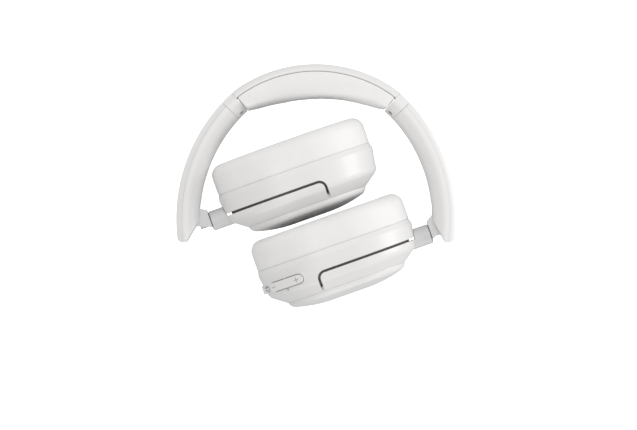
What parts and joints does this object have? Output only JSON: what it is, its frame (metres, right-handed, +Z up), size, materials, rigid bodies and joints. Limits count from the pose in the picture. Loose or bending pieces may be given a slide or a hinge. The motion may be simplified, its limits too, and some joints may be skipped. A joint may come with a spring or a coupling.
{
  "type": "over-ear headphones",
  "caption": "Folding over-ear headphones, folded flat with one cup nested over the other, with padded crown, sliding arms, fold hinges, swivelling yokes and oval cups.",
  "frame": {"origin": "centre of the box's underside, on the surface that the folded headphones lie on", "axes": "+X across the headband towards the right arm, +Y from the cups towards the crown, +Z up from the surface, towards the wearer's back"},
  "size_m": [0.167, 0.1457, 0.076],
  "materials": {
    "white_shell": "satin moulded shell",
    "white_skin": "soft grained synthetic leather",
    "silver_hinge": "satin silver-grey paint",
    "steel": "brushed",
    "dark_plastic": "moulded",
    "dark_cloth": "knitted mesh",
    "board": "solder mask",
    "cell": "foil pouch"
  },
  "bodies": {
    "headband": {"headband_cover": "white_shell", "headband_spring": "steel", "headband_pad": "white_skin", "left_end_cap": "white_shell", "left_end_cap_screws": "steel", "left_slider_rail": "steel", "right_end_cap": "white_shell", "right_end_cap_screws": "steel", "right_slider_rail": "steel"},
    "left_arm_unit": {"left_arm_cover": "white_shell", "left_arm": "white_shell", "left_slider_detent": "steel", "left_fold_pin": "steel"},
    "left_hinge_unit": {"left_hinge_block": "silver_hinge", "left_swivel_shaft": "steel", "left_swivel_washer": "dark_plastic"},
    "left_yoke_unit": {"left_collar": "silver_hinge", "left_yoke": "white_shell", "left_tilt_pins": "steel"},
    "left_cup": {"left_housing": "white_shell", "left_outer_cover": "white_shell", "left_baffle": "dark_plastic", "left_driver": "dark_plastic", "left_pad_ring": "dark_plastic", "left_scrim": "dark_cloth", "left_ear_pad": "white_skin", "left_battery": "cell"},
    "right_arm_unit": {"right_arm_cover": "white_shell", "right_arm": "white_shell", "right_slider_detent": "steel", "right_fold_pin": "steel"},
    "right_hinge_unit": {"right_hinge_block": "silver_hinge", "right_swivel_shaft": "steel", "right_swivel_washer": "dark_plastic"},
    "right_yoke_unit": {"right_collar": "silver_hinge", "right_yoke": "white_shell", "right_tilt_pins": "steel"},
    "right_cup": {"right_housing": "white_shell", "right_outer_cover": "white_shell", "right_baffle": "dark_plastic", "right_driver": "dark_plastic", "right_pad_ring": "dark_plastic", "right_scrim": "dark_cloth", "right_ear_pad": "white_skin", "right_circuit_board": "board", "right_usb_port": "steel", "right_audio_jack": "steel", "volume_rocker_pin": "steel"},
    "volume_rocker_unit": {"volume_rocker": "white_shell"},
    "power_button_unit": {"power_button": "white_shell"}
  },
  "joints": [
    {"name": "left_slider", "type": "slide", "parent": "headband", "child": "left_arm_unit", "axis": [-0.5878, -0.809, 0], "range_m": [0, 0.004]},
    {"name": "left_fold", "type": "hinge", "parent": "left_arm_unit", "child": "left_hinge_unit", "pos_m": [-0.07587, -0.01657, 0.038], "axis": [0, 0, -1], "range_deg": [0, 3]},
    {"name": "left_swivel", "type": "hinge", "parent": "left_hinge_unit", "child": "left_yoke_unit", "pos_m": [-0.05979, -0.02005, 0.038], "axis": [0.9426, 0.3338, 0], "range_deg": [-8, 8]},
    {"name": "left_tilt", "type": "hinge", "parent": "left_yoke_unit", "child": "left_cup", "pos_m": [-0.00013, -0.00429, 0.038], "axis": [0, 0, -1], "range_deg": [0, 5]},
    {"name": "right_slider", "type": "slide", "parent": "headband", "child": "right_arm_unit", "axis": [0.5878, -0.809, 0], "range_m": [0, 0.025]},
    {"name": "right_fold", "type": "hinge", "parent": "right_arm_unit", "child": "right_hinge_unit", "pos_m": [0.07587, -0.01657, 0.038], "axis": [0, 0, 1], "range_deg": [0, 52.5]},
    {"name": "right_swivel", "type": "hinge", "parent": "right_hinge_unit", "child": "right_yoke_unit", "pos_m": [0.06556, -0.02939, 0.038], "axis": [0.9426, 0.3338, 0], "range_deg": [-8, 8]},
    {"name": "right_tilt", "type": "hinge", "parent": "right_yoke_unit", "child": "right_cup", "pos_m": [0.00927, -0.05469, 0.038], "axis": [0, 0, 1], "range_deg": [0, 5]},
    {"name": "volume_rock", "type": "hinge", "parent": "right_cup", "child": "volume_rocker_unit", "pos_m": [-0.01748, -0.05759, 0.06527], "axis": [-0.3338, 0.9426, 0], "range_deg": [-1, 1], "stiffness_Nm_per_rad": 0.4},
    {"name": "power_press", "type": "slide", "parent": "right_cup", "child": "power_button_unit", "axis": [0.9426, 0.3338, 0], "range_m": [0, 0.0006], "stiffness_N_per_m": 500}
  ]
}
